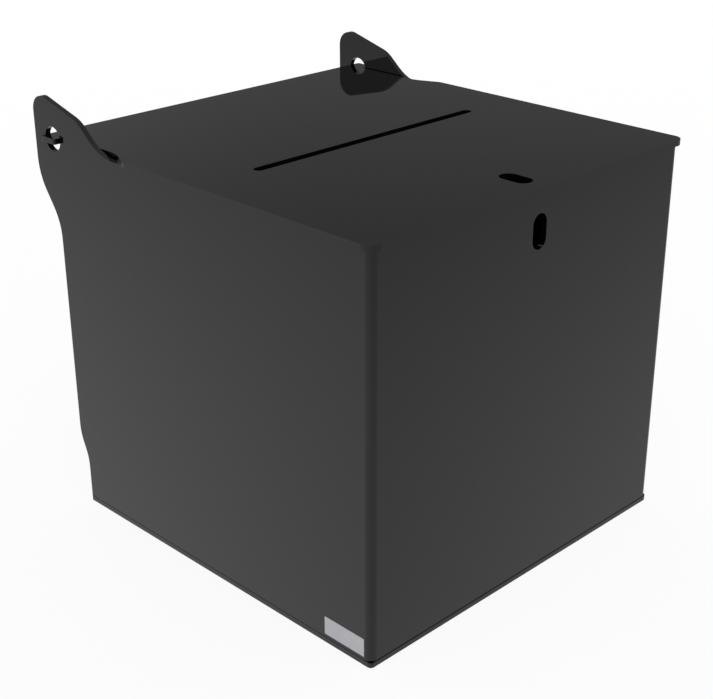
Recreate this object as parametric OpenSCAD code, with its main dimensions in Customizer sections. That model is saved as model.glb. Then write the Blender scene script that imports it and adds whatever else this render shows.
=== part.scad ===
// Donation box with a lift-up lid: a bent sheet body whose side walls rise into two ears at the
// back. Tabs at the rear corners of the lid turn in round holes in those ears. A padlock closes
// the box through a slot in the lid and a slot in the front wall.
//
// Units are millimetres. X runs along the front from left to right, Y from front to back, Z up.
// The origin is in the middle of the base plate's resting face.

/* [Box] */
// Outside width over the two side walls
box_w = 300; // [240:1:420]
// Outside depth from the front wall to the rear panel
box_d = 300; // [220:1:420]
// Height of the walls above the base plate
wall_h = 276.75; // [230:0.25:420]
// Thickness of the bent sheet
wall_t = 4; // [2:0.5:6]
// Inside radius of the bends at the front corners
bend_r = 1.4; // [0.5:0.1:6]
// Thickness of the rear panel
panel_t = 4; // [2:0.5:6]

/* [Base plate] */
// Thickness of the base plate
base_t = 4; // [2:0.5:8]
// Radius of the two front corners of the base plate
base_corner_r = 3; // [0.5:0.25:10]

/* [Ears] */
// How far the side walls run on behind the rear panel
flange = 8; // [4:0.5:14]
// Height above the base plate at which the side walls step back to that flange
flange_z = 42; // [25:0.5:60]
// Slope of that step from the upright
flange_angle = 23; // [15:1:35]
// Radius of both bows of that step
flange_r = 36; // [10:1:40]
// How far the ears reach behind the rear panel
ear_back = 29.75; // [24:0.25:40]
// Depth below the top of the walls at which the rear edge swings out to the ear
ear_drop = 43; // [35:0.5:55]
// Slope of that swing from the upright
ear_angle = 35; // [25:1:45]
// Radius of both bows of that swing
ear_r = 40; // [15:1:42]
// Height of the rear edge of the ear above the top of the walls, before its corner is rounded
ear_rise = 33.75; // [28:0.25:45]
// Radius of the rear top corner of the ear
ear_corner_r = 11.5; // [4:0.5:16]
// Slope of the top edge of the ear
crest_angle = 15; // [8:1:20]
// Radius where the top edge turns down into the ramp
crest_r = 25; // [5:1:30]
// Slope of the ramp at the front of the ear
ramp_angle = 40; // [34:1:50]
// Distance of the foot of the ramp from the hinge axis
ramp_foot = 54.25; // [50:0.25:70]
// Radius that sweeps the foot of the ramp into the top of the wall
ramp_r = 40; // [10:1:45]

/* [Lid] */
// Thickness of the lid
lid_t = 4; // [2:0.5:6]
// How far the lid stands out beyond the walls
lid_lip = 3; // [1:0.5:8]
// Gap between the lid and the inside of each ear
ear_gap = 1.5; // [0.5:0.25:3]
// Length of the slanted lead-in in front of each ear
lead_l = 19.5; // [10:0.5:24]
// Radius that joins the lead-in to the edge beside the ear
lead_r = 25; // [5:1:25]
// Distance of the lead-in from the foot of the ramp, where the wall starts to rise
lead_gap = 0; // [0:0.25:4]
// Radius of the small outer corners of the lid
tip_r = 1.5; // [0.5:0.25:3]

/* [Hinge] */
// Width of each hinge tab
tab_w = 15; // [10:0.5:18]
// How far each tab stands out beyond the side wall
tab_out = 4.25; // [2:0.25:10]
// Room between the corners of the tab and its round hole
tab_gap = 1; // [0.25:0.25:2]
// Room between the rear panel and the lid's rear edge as the lid turns
swing_gap = 0.75; // [0.5:0.25:3]

/* [Money slot] */
// Length of the money slot
slot_l = 208; // [60:1:220]
// Width of the money slot
slot_w = 7.5; // [4:0.5:16]

/* [Padlock slots] */
// Width of the two slots for the padlock shackle
lock_w = 13.5; // [8:0.5:20]
// Length of the two slots for the padlock shackle
lock_l = 24; // [20:0.5:40]
// Distance of the slot in the lid from the inside of the front wall
lock_back = 17; // [14:0.5:40]
// Distance of the slot in the front wall below the top of the wall
lock_drop = 26; // [20:0.5:60]

/* [Hidden] */
$fn = 96;
// Allowance by which cutting shapes run past the faces that they cut
eps = 1;
// Allowance by which each rounding arc crosses the straight edges that it is tangent to
bite = 0.002;

// Outer faces of the box and levels that several pieces share
side_x = box_w / 2;
front_y = -box_d / 2;
back_y = box_d / 2;
wall_top = base_t + wall_h;
outer_r = wall_t + bend_r;

// Hinge: the tab is a flat bar, so its corners sweep the circle that the hole must clear
tab_reach = norm([tab_w, lid_t]) / 2;
hole_d = 2 * (tab_reach + tab_gap);
hinge_y = back_y + tab_reach + swing_gap;
hinge_z = wall_top + lid_t / 2;
tab_front_y = hinge_y - tab_w / 2;
lid_back_y = hinge_y + tab_w / 2;

// Corners of the rear edge, where its slanted stretches would meet the upright ones
flange_y = back_y + flange;
ear_y = back_y + ear_back;
step_z = base_t + flange_z;
step_dz = flange / tan(flange_angle) / 2;
swing_z = wall_top - ear_drop;
swing_dz = (ear_y - flange_y) / tan(ear_angle) / 2;

// Corners of the upper edge: rear peak, knee between crest and ramp, and foot of the ramp
foot_y = hinge_y - ramp_foot;
peak_z = wall_top + ear_rise;
crest_z = ear_rise - (ear_y - foot_y) * tan(crest_angle);
knee_dy = crest_z / (tan(ramp_angle) - tan(crest_angle));
knee_y = foot_y + knee_dy;
knee_z = wall_top + knee_dy * tan(ramp_angle);

// Where the wall starts to rise towards the ramp, and the lead-in of the lid that ends before it
rise_y = foot_y - ramp_r * tan(ramp_angle / 2);
notch_w = wall_t + ear_gap;
lead_back_y = rise_y - lead_gap + lead_l * ear_gap / (lid_lip + notch_w);
lead_front_y = lead_back_y - lead_l;

// Centres of the slots
lock_y = front_y + wall_t + lock_back;
lock_z = wall_top - lock_drop;

function unit(v) = v / norm(v);

// Closed outline of [corner, radius] pairs. A corner with a radius above 0 is cut round, one with a
// radius below 0 is filled round, and one with 0 stays sharp.
module rounded_outline(corners) {
    n = len(corners);
    turns = [
        for (i = [0:n - 1])
            let (
                corner = corners[i][0],
                u = unit(corners[(i + n - 1) % n][0] - corner),
                v = unit(corners[(i + 1) % n][0] - corner),
                half = acos(u * v) / 2,
                r = abs(corners[i][1])
            )
                [
                    corner,
                    corner + r / tan(half) * u,
                    corner + r / tan(half) * v,
                    corner + r / sin(half) * unit(u + v)
                ]
    ];
    difference() {
        polygon([
            for (i = [0:n - 1])
                each corners[i][1] < 0 ? [turns[i][1], turns[i][2]] : [turns[i][0]]
        ]);
        for (i = [0:n - 1])
            if (corners[i][1] < 0)
                translate(turns[i][3])
                    circle(r = bite - corners[i][1]);
            else if (corners[i][1] > 0)
                corner_sliver(turns[i], corners[i][1]);
    }
}

// Sliver between a sharp corner and the arc that cuts it round, run on past both edges. The turn
// is the corner, both ends of the arc and its centre.
module corner_sliver(turn, r) {
    centre = turn[3];
    translate(centre)
        difference() {
            polygon((1 + eps / r) * [
                [0, 0],
                turn[1] - centre,
                turn[0] - centre,
                turn[2] - centre
            ]);
            circle(r = r + bite);
        }
}

// Rectangle with rounded corners, from its low corner to its high one
module round_rect(low, high, r) {
    size = high - low;
    translate(low + [r, 0])
        square([size[0] - 2 * r, size[1]]);
    translate(low + [0, r])
        square([size[0], size[1] - 2 * r]);
    for (x = [low[0] + r, high[0] - r], y = [low[1] + r, high[1] - r])
        translate([x, y])
            circle(r = r);
}

// Slot with round ends, its length along Y
module round_slot(length, width) {
    straight = length - width;
    square([width, straight], center = true);
    for (y = [-straight / 2, straight / 2])
        translate([0, y])
            circle(d = width);
}

// Side view of the bent sheet, drawn with Y and Z as its axes: wall, flange and ear
module side_profile() {
    rounded_outline([
        [[front_y - eps, base_t], 0],
        [[back_y, base_t], 0],
        [[back_y, step_z - step_dz], -flange_r],
        [[flange_y, step_z + step_dz], flange_r],
        [[flange_y, swing_z - swing_dz], -ear_r],
        [[ear_y, swing_z + swing_dz], ear_r],
        [[ear_y, peak_z], ear_corner_r],
        [[knee_y, knee_z], crest_r],
        [[foot_y, wall_top], -ramp_r],
        [[front_y - eps, wall_top], 0]
    ]);
}

// Plan of the bent sheet: front wall, two bends and two side walls that stay open at the back
module sheet_plan() {
    open_y = ear_y + 2 * outer_r;
    difference() {
        round_rect([-side_x, front_y], [side_x, open_y], outer_r);
        round_rect([wall_t - side_x, front_y + wall_t], [side_x - wall_t, open_y + outer_r], bend_r);
    }
}

// Flat plate that the box stands on
module base_plate() {
    color("#161616")
        linear_extrude(height = base_t)
            rounded_outline([
                [[-side_x, front_y], base_corner_r],
                [[side_x, front_y], base_corner_r],
                [[side_x, back_y], 0],
                [[-side_x, back_y], 0]
            ]);
}

// Front and side walls, bent from one sheet, with the ears at the back
module body_shell() {
    color("#161616")
        difference() {
            intersection() {
                linear_extrude(height = peak_z + eps)
                    sheet_plan();
                rotate([90, 0, 90])
                    linear_extrude(height = box_w + 2 * eps, center = true)
                        side_profile();
            }
            translate([0, hinge_y, hinge_z])
                rotate([0, 90, 0])
                    cylinder(h = box_w + 2 * eps, d = hole_d, center = true);
            translate([0, front_y + wall_t / 2, lock_z])
                rotate([90, 0, 0])
                    linear_extrude(height = wall_t + 2 * eps, center = true)
                        round_slot(lock_l, lock_w);
        }
}

// Panel between the side walls that closes the back
module rear_panel() {
    color("#161616")
        translate([wall_t - side_x, back_y - panel_t, base_t])
            cube([box_w - 2 * wall_t, panel_t, wall_h]);
}

// Left half of the lid: overhang, lead-in, cut-back beside the ear and hinge tab
module lid_half() {
    lip_x = -side_x - lid_lip;
    notch_x = -side_x + notch_w;
    tab_x = -side_x - tab_out;
    rounded_outline([
        [[0, front_y - lid_lip], 0],
        [[lip_x, front_y - lid_lip], outer_r + lid_lip],
        [[lip_x, lead_front_y], tip_r],
        [[notch_x, lead_back_y], -lead_r],
        [[notch_x, tab_front_y], 0],
        [[tab_x, tab_front_y], tip_r],
        [[tab_x, lid_back_y], tip_r],
        [[0, lid_back_y], 0]
    ]);
}

// Flat lid on the top edges of the walls, with the money slot and its padlock slot
module lid() {
    color("#161616")
        translate([0, 0, wall_top])
            linear_extrude(height = lid_t)
                difference() {
                    union() {
                        lid_half();
                        mirror([1, 0])
                            lid_half();
                    }
                    rotate(90)
                        round_slot(slot_l, slot_w);
                    translate([0, lock_y])
                        round_slot(lock_l, lock_w);
                }
}

base_plate();
body_shell();
rear_panel();
lid();
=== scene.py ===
"""Looks of the donation box: polished black sheet, a bare label plate and a plain pale studio."""

import math

import bmesh
import bpy
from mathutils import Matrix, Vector


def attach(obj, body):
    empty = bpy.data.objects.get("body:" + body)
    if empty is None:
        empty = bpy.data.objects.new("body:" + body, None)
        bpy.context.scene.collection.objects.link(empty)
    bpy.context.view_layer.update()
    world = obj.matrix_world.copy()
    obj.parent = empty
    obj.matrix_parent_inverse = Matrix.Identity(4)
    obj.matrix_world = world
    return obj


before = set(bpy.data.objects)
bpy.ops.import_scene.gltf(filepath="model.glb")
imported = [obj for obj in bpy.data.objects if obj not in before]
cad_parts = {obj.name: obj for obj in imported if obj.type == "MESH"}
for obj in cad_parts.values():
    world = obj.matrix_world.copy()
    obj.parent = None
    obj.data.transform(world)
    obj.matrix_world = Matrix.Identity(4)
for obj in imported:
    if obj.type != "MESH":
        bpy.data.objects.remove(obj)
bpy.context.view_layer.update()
scene = bpy.context.scene
scene.view_settings.view_transform = "Standard"

# ---------------------------------------------------------------------------------- camera
# Size of the picture, focal length and the point where the optical axis meets it, in pixels
WIDTH, HEIGHT = 713, 699
FOCAL_PX = 1419.85
AXIS_X, AXIS_Y = 368.876, 356.305
# Place of the camera in metres, its downward tilt and its turn in degrees
EYE, TILT, TURN = (-0.671572, -0.666431, 0.553071), 24.5641, -45.1901
SENSOR_MM = 36
camera = bpy.data.objects.new("camera", bpy.data.cameras.new("camera"))
scene.collection.objects.link(camera)
camera.location = EYE
camera.rotation_euler = (math.radians(90 - TILT), 0, math.radians(TURN))
camera.data.sensor_width = SENSOR_MM
camera.data.lens = SENSOR_MM * FOCAL_PX / WIDTH
camera.data.shift_x = (WIDTH / 2 - AXIS_X) / WIDTH
camera.data.shift_y = (AXIS_Y - HEIGHT / 2) / WIDTH
camera.data.clip_start, camera.data.clip_end = 0.05, 100
scene.camera = camera


# --------------------------------------------------------------------------- node helpers
class Graph:
    """A node tree written as expressions: each call adds a node and gives its output."""

    def __init__(self, tree):
        self.tree = tree
        tree.nodes.clear()

    def put(self, socket, value):
        if isinstance(value, bpy.types.NodeSocket):
            self.tree.links.new(value, socket)
        else:
            socket.default_value = value

    def node(self, kind, inputs=None, **settings):
        made = self.tree.nodes.new(kind)
        for key, value in settings.items():
            setattr(made, key, value)
        for key, value in (inputs or {}).items():
            self.put(made.inputs[key], value)
        return made

    def math(self, operation, *values):
        return self.node("ShaderNodeMath", dict(enumerate(values)), operation=operation).outputs[0]

    def span(self, value, start, end, low, high, kind="SMOOTHSTEP"):
        """low where value is start, high where it is end, and between them in between."""
        inputs = {"Value": value, "From Min": start, "From Max": end, "To Min": low, "To Max": high}
        return self.node("ShaderNodeMapRange", inputs, interpolation_type=kind).outputs[0]

    def mix(self, share, low, high):
        return self.node("ShaderNodeMix", {0: share, 2: low, 3: high}).outputs[0]

    def split(self, vector):
        return self.node("ShaderNodeSeparateXYZ", {0: vector}).outputs

    def stretch(self, vector, scale):
        return self.node("ShaderNodeMapping", {"Vector": vector, "Scale": scale}).outputs[0]

    def noise(self, vector, scale, detail):
        inputs = {"Vector": vector, "Scale": scale, "Detail": detail}
        return self.node("ShaderNodeTexNoise", inputs).outputs["Fac"]

    def blend(self, share, low, high):
        """mix for colours."""
        inputs = {0: share, 6: low, 7: high}
        return self.node("ShaderNodeMix", inputs, data_type="RGBA").outputs[2]

    def bump(self, height, distance, normal=None):
        inputs = {"Height": height, "Distance": distance, "Strength": 1.0}
        if normal is not None:
            inputs["Normal"] = normal
        return self.node("ShaderNodeBump", inputs).outputs[0]

    def surface(self, shader, kind="ShaderNodeOutputMaterial"):
        self.tree.links.new(shader, self.node(kind).inputs["Surface"])

    def seen_directly(self):
        """1 for rays from the camera or through glass, 0 for all others."""
        path = self.node("ShaderNodeLightPath").outputs
        return self.math("MAXIMUM", path["Is Camera Ray"], path["Is Transmission Ray"])


def material(name):
    made = bpy.data.materials.new(name)
    made.use_nodes = True
    return made, Graph(made.node_tree)


# --------------------------------------------------------------------------------- studio
# Level of the studio's light on matt surfaces
AMBIENT = 0.75
# Level of the floor in the polish, and how much lighter it grows to the left
FLOOR_SEEN, FLOOR_SLOPE = 0.7575, 0.08
# Level of the dark wall, what its lit part adds low and high up, and how far left it is fully lit
WALL_SEEN, LIT_LOW, LIT_HIGH, LIT_LEFT = 0.172, 0.20, 0.52, 1.3
# Greatest extra level of the ceiling
CEILING = 0.30
# Heights of a direction between which the floor gives way to the wall, the lit part of the wall
# brightens and the ceiling does
FLOOR_RANGE, LIT_RANGE, CEILING_RANGE = (-0.50, 0.03), (-0.10, 0.22), (0.40, 1.0)


def studio_world():
    """White behind the box. In its polish: a pale floor, a little lighter on the left, that dims
    towards the horizon, above it a wall that is lit on the left and dark on the right, and a
    ceiling that grows lighter towards the top."""
    made = bpy.data.worlds.new("studio")
    made.use_nodes = True
    scene.world = made
    g = Graph(made.node_tree)
    x, y, z = g.split(g.node("ShaderNodeTexCoord").outputs["Generated"])
    left = g.math("SUBTRACT", y, x)
    floor = g.math("MULTIPLY_ADD", left, FLOOR_SLOPE, FLOOR_SEEN)
    lit = g.span(left, 0.0, LIT_LEFT, 0.0, 1.0)
    lit = g.math("MULTIPLY", lit, g.span(z, *LIT_RANGE, LIT_LOW, LIT_HIGH))
    wall = g.math("ADD", lit, WALL_SEEN)
    level = g.mix(g.span(z, *FLOOR_RANGE, 1.0, 0.0), wall, floor)
    level = g.math("ADD", level, g.span(z, *CEILING_RANGE, 0.0, CEILING))
    level = g.mix(g.node("ShaderNodeLightPath").outputs["Is Glossy Ray"], AMBIENT, level)
    level = g.mix(g.seen_directly(), level, 1.0)
    shader = g.node("ShaderNodeBackground", {"Color": (1, 1, 1, 1), "Strength": level})
    g.surface(shader.outputs[0], "ShaderNodeOutputWorld")


# Reach of the floor to each side, how far it lies below the box, and its paint
FLOOR_REACH, FLOOR_DROP, FLOOR_PAINT = 8.0, 0.0002, (0.86, 0.86, 0.86, 1)
# Share of glow in the floor beside the box, and the distances between which it grows to all of it
GLOW_NEAR, GLOW_START, GLOW_END = 0.90, 0.5, 2.0


def studio_floor():
    """Plain pale floor, white to the camera but for the box's soft shadow. It glows fully white
    further off, so that no horizon shows against the backdrop."""
    mesh = bpy.data.meshes.new("floor")
    corners = [(-1, -1), (1, -1), (1, 1), (-1, 1)]
    mesh.from_pydata([(FLOOR_REACH * x, FLOOR_REACH * y, 0) for x, y in corners], [], [(0, 1, 2, 3)])
    floor = bpy.data.objects.new("floor", mesh)
    scene.collection.objects.link(floor)
    floor.location.z = -FLOOR_DROP
    floor.visible_glossy = False
    paint, g = material("floor_white")
    diffuse = g.node("ShaderNodeBsdfDiffuse", {"Color": FLOOR_PAINT}).outputs[0]
    glow = g.node("ShaderNodeEmission", {"Color": (1, 1, 1, 1), "Strength": 1.0}).outputs[0]
    place = g.node("ShaderNodeTexCoord").outputs["Object"]
    away = g.node("ShaderNodeVectorMath", {0: place}, operation="LENGTH").outputs["Value"]
    glowing = g.span(away, GLOW_START, GLOW_END, GLOW_NEAR, 1.0)
    share = g.math("MULTIPLY", g.seen_directly(), glowing)
    g.surface(g.node("ShaderNodeMixShader", {0: share, 1: diffuse, 2: glow}).outputs[0])
    mesh.materials.append(paint)


# Middle of the box, at which the lamps look
BOX_MIDDLE = (0, 0, 0.14)


def studio_lamp(name, place, size, power):
    """Soft lamp that looks at the box and stays out of its polish."""
    data = bpy.data.lights.new(name, "AREA")
    data.shape, data.size, data.energy = "DISK", size, power
    lamp = bpy.data.objects.new(name, data)
    scene.collection.objects.link(lamp)
    lamp.location = place
    aim = Vector(BOX_MIDDLE) - Vector(place)
    lamp.rotation_euler = aim.to_track_quat("-Z", "Y").to_euler()
    lamp.visible_glossy = False


studio_world()
studio_floor()
studio_lamp("key_lamp", (-1.3, -1.6, 2.2), 2.0, 22)
studio_lamp("fill_lamp", (1.9, -0.4, 1.7), 1.6, 8)
studio_lamp("back_lamp", (0.4, 2.0, 1.9), 1.6, 8)


# ------------------------------------------------------------------------------ materials
# Top of the base plate and half the width of the rear panel
BASE_T, PANEL_X = 0.004, 0.146
# Half the width of the painted shade line along a cemented seam, on the side walls and on the front
# and back, and the depth of its groove
SEAM_SHADE_SIDE, SEAM_SHADE_FRONT, SEAM_DEPTH = 0.00048, 0.00094, 0.00003
# Blacks of the sheet where it is darkest and lightest, and of its cut edges
BLACK_DEEP, BLACK_SOFT = (0.0013, 0.0013, 0.0015, 1), (0.0019, 0.0018, 0.0019, 1)
BLACK_CUT = (0.0026, 0.0026, 0.0028, 1)
# Haze of the plain polish at its clearest and dullest, and what hairlines, dust, cut edges and
# seams add to it
HAZE_CLEAR, HAZE_DULL = 0.018, 0.034
HAZE_HAIR, HAZE_DUST, HAZE_CUT, HAZE_SEAM = 0.008, 0.02, 0.07, 0.45
# Heights of the cutter's lines and of the hairlines
LINE_HEIGHT, HAIR_HEIGHT = 0.00002, 0.0000004
# Specular level of the sheet and, lowered as painted shade, along a seam, and the sheet's index of
# refraction
SPECULAR, SPECULAR_SEAM_SHADE, SHEET_IOR = 0.5, 0.05, 1.49
# Fineness of the cloud in the black, of the haze and of the dust
CLOUD_SCALE, HAZE_SCALE, DUST_SCALE = 9.0, 24.0, 2600.0
# Fineness along X, Y and Z of the hairlines on flat and on upright sheets, and of the cutter's lines
GRAIN_FLAT, GRAIN_UPRIGHT = (14.0, 260.0, 14.0), (14.0, 14.0, 260.0)
GRAIN_CUTTER = (900.0, 900.0, 60.0)


def seam_shade_share(g, place, normal, shaded_seams):
    """Share of the painted shade, groove and duller polish along the seams: 1 along the middle of a
    seam, 0 from half its width on. Each seam is an axis and the height or distance at which it lies."""
    facing = g.math("ABSOLUTE", g.split(normal)[1])
    half = g.span(facing, 0.3, 0.9, SEAM_SHADE_SIDE, SEAM_SHADE_FRONT)
    seam_shade = 0.0
    for axis, at in shaded_seams:
        off = g.math("ABSOLUTE", g.math("SUBTRACT", g.math("ABSOLUTE", g.split(place)[axis]), at))
        seam_shade = g.math("MAXIMUM", seam_shade, g.span(off, half, 0.0, 0.0, 1.0, "LINEAR"))
    return seam_shade


def polished_black(name, grain, cut_faces, shaded_seams=()):
    """Black gloss sheet: faint cloud in the black, hairline haze along the sheet's grain, cut edges
    that carry the fine lines of the cutter across their polish, and thin lines of painted shade,
    with a shallow groove and duller polish, along the seams where the sheet is cemented to another.
    cut_faces gives the share of cut edge at a point from its place and normal, and the last argument
    lists the seams, each an axis and the height or distance at which it lies."""
    made, g = material(name)
    coords = g.node("ShaderNodeTexCoord").outputs
    place = coords["Object"]
    cut = cut_faces(g, place, coords["Normal"])
    seam_shade = seam_shade_share(g, place, coords["Normal"], shaded_seams)
    dust = g.span(g.noise(place, DUST_SCALE, 1.0), 0.70, 0.78, 0.0, 1.0)
    black = g.blend(g.noise(place, CLOUD_SCALE, 3.0), BLACK_DEEP, BLACK_SOFT)
    black = g.blend(g.math("MULTIPLY", cut, 0.5), black, BLACK_CUT)
    hairline = g.noise(g.stretch(place, grain), 1.0, 2.0)
    haze = g.span(g.noise(place, HAZE_SCALE, 4.0), 0.35, 0.75, HAZE_CLEAR, HAZE_DULL)
    for part, added in (
        (hairline, HAZE_HAIR), (dust, HAZE_DUST), (cut, HAZE_CUT), (seam_shade, HAZE_SEAM)
    ):
        haze = g.math("ADD", haze, g.math("MULTIPLY", part, added))
    lines = g.noise(g.stretch(place, GRAIN_CUTTER), 1.0, 1.0)
    normal = g.bump(g.math("MULTIPLY", lines, cut), LINE_HEIGHT)
    normal = g.bump(hairline, HAIR_HEIGHT, normal=normal)
    normal = g.bump(g.math("SUBTRACT", 1.0, seam_shade), SEAM_DEPTH, normal=normal)
    # Along a seam the specular level is lowered: painted shade that darkens the reflection there.
    shader = g.node(
        "ShaderNodeBsdfPrincipled",
        {
            "Base Color": black,
            "Roughness": haze,
            "IOR": SHEET_IOR,
            "Specular IOR Level": g.span(seam_shade, 0.0, 0.8, SPECULAR, SPECULAR_SEAM_SHADE),
            "Normal": normal,
        },
    )
    g.surface(shader.outputs[0])
    return made


# Where the bends at the front corners have run out into the side walls
BEND_END, BEND_PAST = -0.1445, -0.1440


def cut_share(g, broad):
    """Share of cut edge, from how far a face looks the way that the broad faces do."""
    return g.span(broad, 0.9, 0.5, 0.0, 1.0)


def flat_sheet_edges(g, place, normal):
    """Cut share of a sheet that lies flat: all faces that look sideways."""
    return cut_share(g, g.math("ABSOLUTE", g.split(normal)[2]))


def upright_sheet_edges(g, place, normal):
    """Cut share of a panel whose faces look to the front and back."""
    return cut_share(g, g.math("ABSOLUTE", g.split(normal)[1]))


def bent_sheet_edges(g, place, normal):
    """Cut share of the bent sheet: faces that look neither to a side nor, at the front wall and
    its bends, to the front or back."""
    side, along = (g.math("ABSOLUTE", part) for part in g.split(normal)[:2])
    front = g.span(g.split(place)[1], BEND_END, BEND_PAST, 1.0, 0.0)
    broad = g.math("MAXIMUM", side, g.math("MULTIPLY", along, front))
    turned = g.math("MULTIPLY", g.math("MULTIPLY", along, along), front)
    bend = g.math("SQRT", g.math("MULTIPLY_ADD", side, side, turned))
    return cut_share(g, g.math("MAXIMUM", broad, bend))


def dress(node, made):
    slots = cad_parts[node].data.materials
    if slots:
        slots[0] = made
    else:
        slots.append(made)


# Seams that carry painted shade: along the foot of the walls and along the sides of the rear panel.
FOOT = (2, BASE_T)
PANEL_SIDES = (0, PANEL_X)
dress("base_plate", polished_black("base_black", GRAIN_FLAT, flat_sheet_edges, [FOOT]))
dress("body_shell", polished_black("shell_black", GRAIN_UPRIGHT, bent_sheet_edges, [FOOT]))
dress(
    "rear_panel",
    polished_black("panel_black", GRAIN_UPRIGHT, upright_sheet_edges, [FOOT, PANEL_SIDES]),
)
dress("lid", polished_black("lid_black", GRAIN_FLAT, flat_sheet_edges))


# ---------------------------------------------------------------------------------- label
# Outer face of the left wall, and the front, rear, lower and upper edge of the plate on it
WALL_X = -0.150
LABEL_Y, LABEL_Z = (-0.1440, -0.1083), (0.0066, 0.0199)
# Thickness of the plate, radius of its corners and width of its eased rim
LABEL_THICK, LABEL_CORNER, LABEL_EASE = 0.0003, 0.0005, 0.00008
# Steps of each rounded corner
CORNER_STEPS = 6
# Greys of the plate where it is darkest and lightest, and of its fibres
LABEL_DIM, LABEL_PALE = (0.47, 0.465, 0.50, 1), (0.52, 0.51, 0.54, 1)
LABEL_FIBRE = (0.44, 0.435, 0.47, 1)
# Fineness of its cloud and, along X, Y and Z, of its fibres, the height of these, and its index of
# refraction
LABEL_CLOUD, FIBRE_GRAIN, FIBRE_HEIGHT = 160.0, (900.0, 1600.0, 5200.0), 0.000004
LABEL_IOR = 1.46


def label_outline():
    """Points around the plate, as Y and Z."""
    r = LABEL_CORNER
    (y0, y1), (z0, z1) = LABEL_Y, LABEL_Z
    points = []
    for cy, cz, start in (
        (y0 + r, z0 + r, 180), (y1 - r, z0 + r, 270), (y1 - r, z1 - r, 0), (y0 + r, z1 - r, 90)
    ):
        for step in range(CORNER_STEPS + 1):
            turn = math.radians(start + 90 / CORNER_STEPS * step)
            points.append((cy + r * math.cos(turn), cz + r * math.sin(turn)))
    return points


def label_mesh():
    """The plate, with its outer rim eased."""
    mesh = bpy.data.meshes.new("label_plate")
    b = bmesh.new()
    face = b.faces.new([b.verts.new((WALL_X, y, z)) for y, z in label_outline()])
    grown = bmesh.ops.extrude_face_region(b, geom=[face])["geom"]
    outer = [v for v in grown if isinstance(v, bmesh.types.BMVert)]
    bmesh.ops.translate(b, vec=(-LABEL_THICK, 0, 0), verts=outer)
    bmesh.ops.recalc_face_normals(b, faces=b.faces)
    outer_x = WALL_X - LABEL_THICK
    rim = [e for e in b.edges if all(abs(v.co.x - outer_x) < 1e-6 for v in e.verts)]
    bmesh.ops.bevel(b, geom=rim, offset=LABEL_EASE, segments=2, affect="EDGES", profile=0.5)
    b.to_mesh(mesh)
    b.free()
    return mesh


def label_white():
    """Pale satin label stock with faint fibres."""
    made, g = material("label_white")
    place = g.node("ShaderNodeTexCoord").outputs["Object"]
    fibre = g.noise(g.stretch(place, FIBRE_GRAIN), 1.0, 3.0)
    pale = g.blend(g.noise(place, LABEL_CLOUD, 3.0), LABEL_DIM, LABEL_PALE)
    pale = g.blend(g.math("MULTIPLY", fibre, 0.25), pale, LABEL_FIBRE)
    shader = g.node(
        "ShaderNodeBsdfPrincipled",
        {
            "Base Color": pale,
            "Roughness": g.span(fibre, 0.2, 0.8, 0.34, 0.46),
            "IOR": LABEL_IOR,
            "Normal": g.bump(fibre, FIBRE_HEIGHT),
        },
    )
    g.surface(shader.outputs[0])
    return made


def label_plate():
    """Small bare plate low on the left wall, beside the front corner."""
    mesh = label_mesh()
    plate = bpy.data.objects.new("label_plate", mesh)
    scene.collection.objects.link(plate)
    mesh.materials.append(label_white())
    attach(plate, "box")


label_plate()
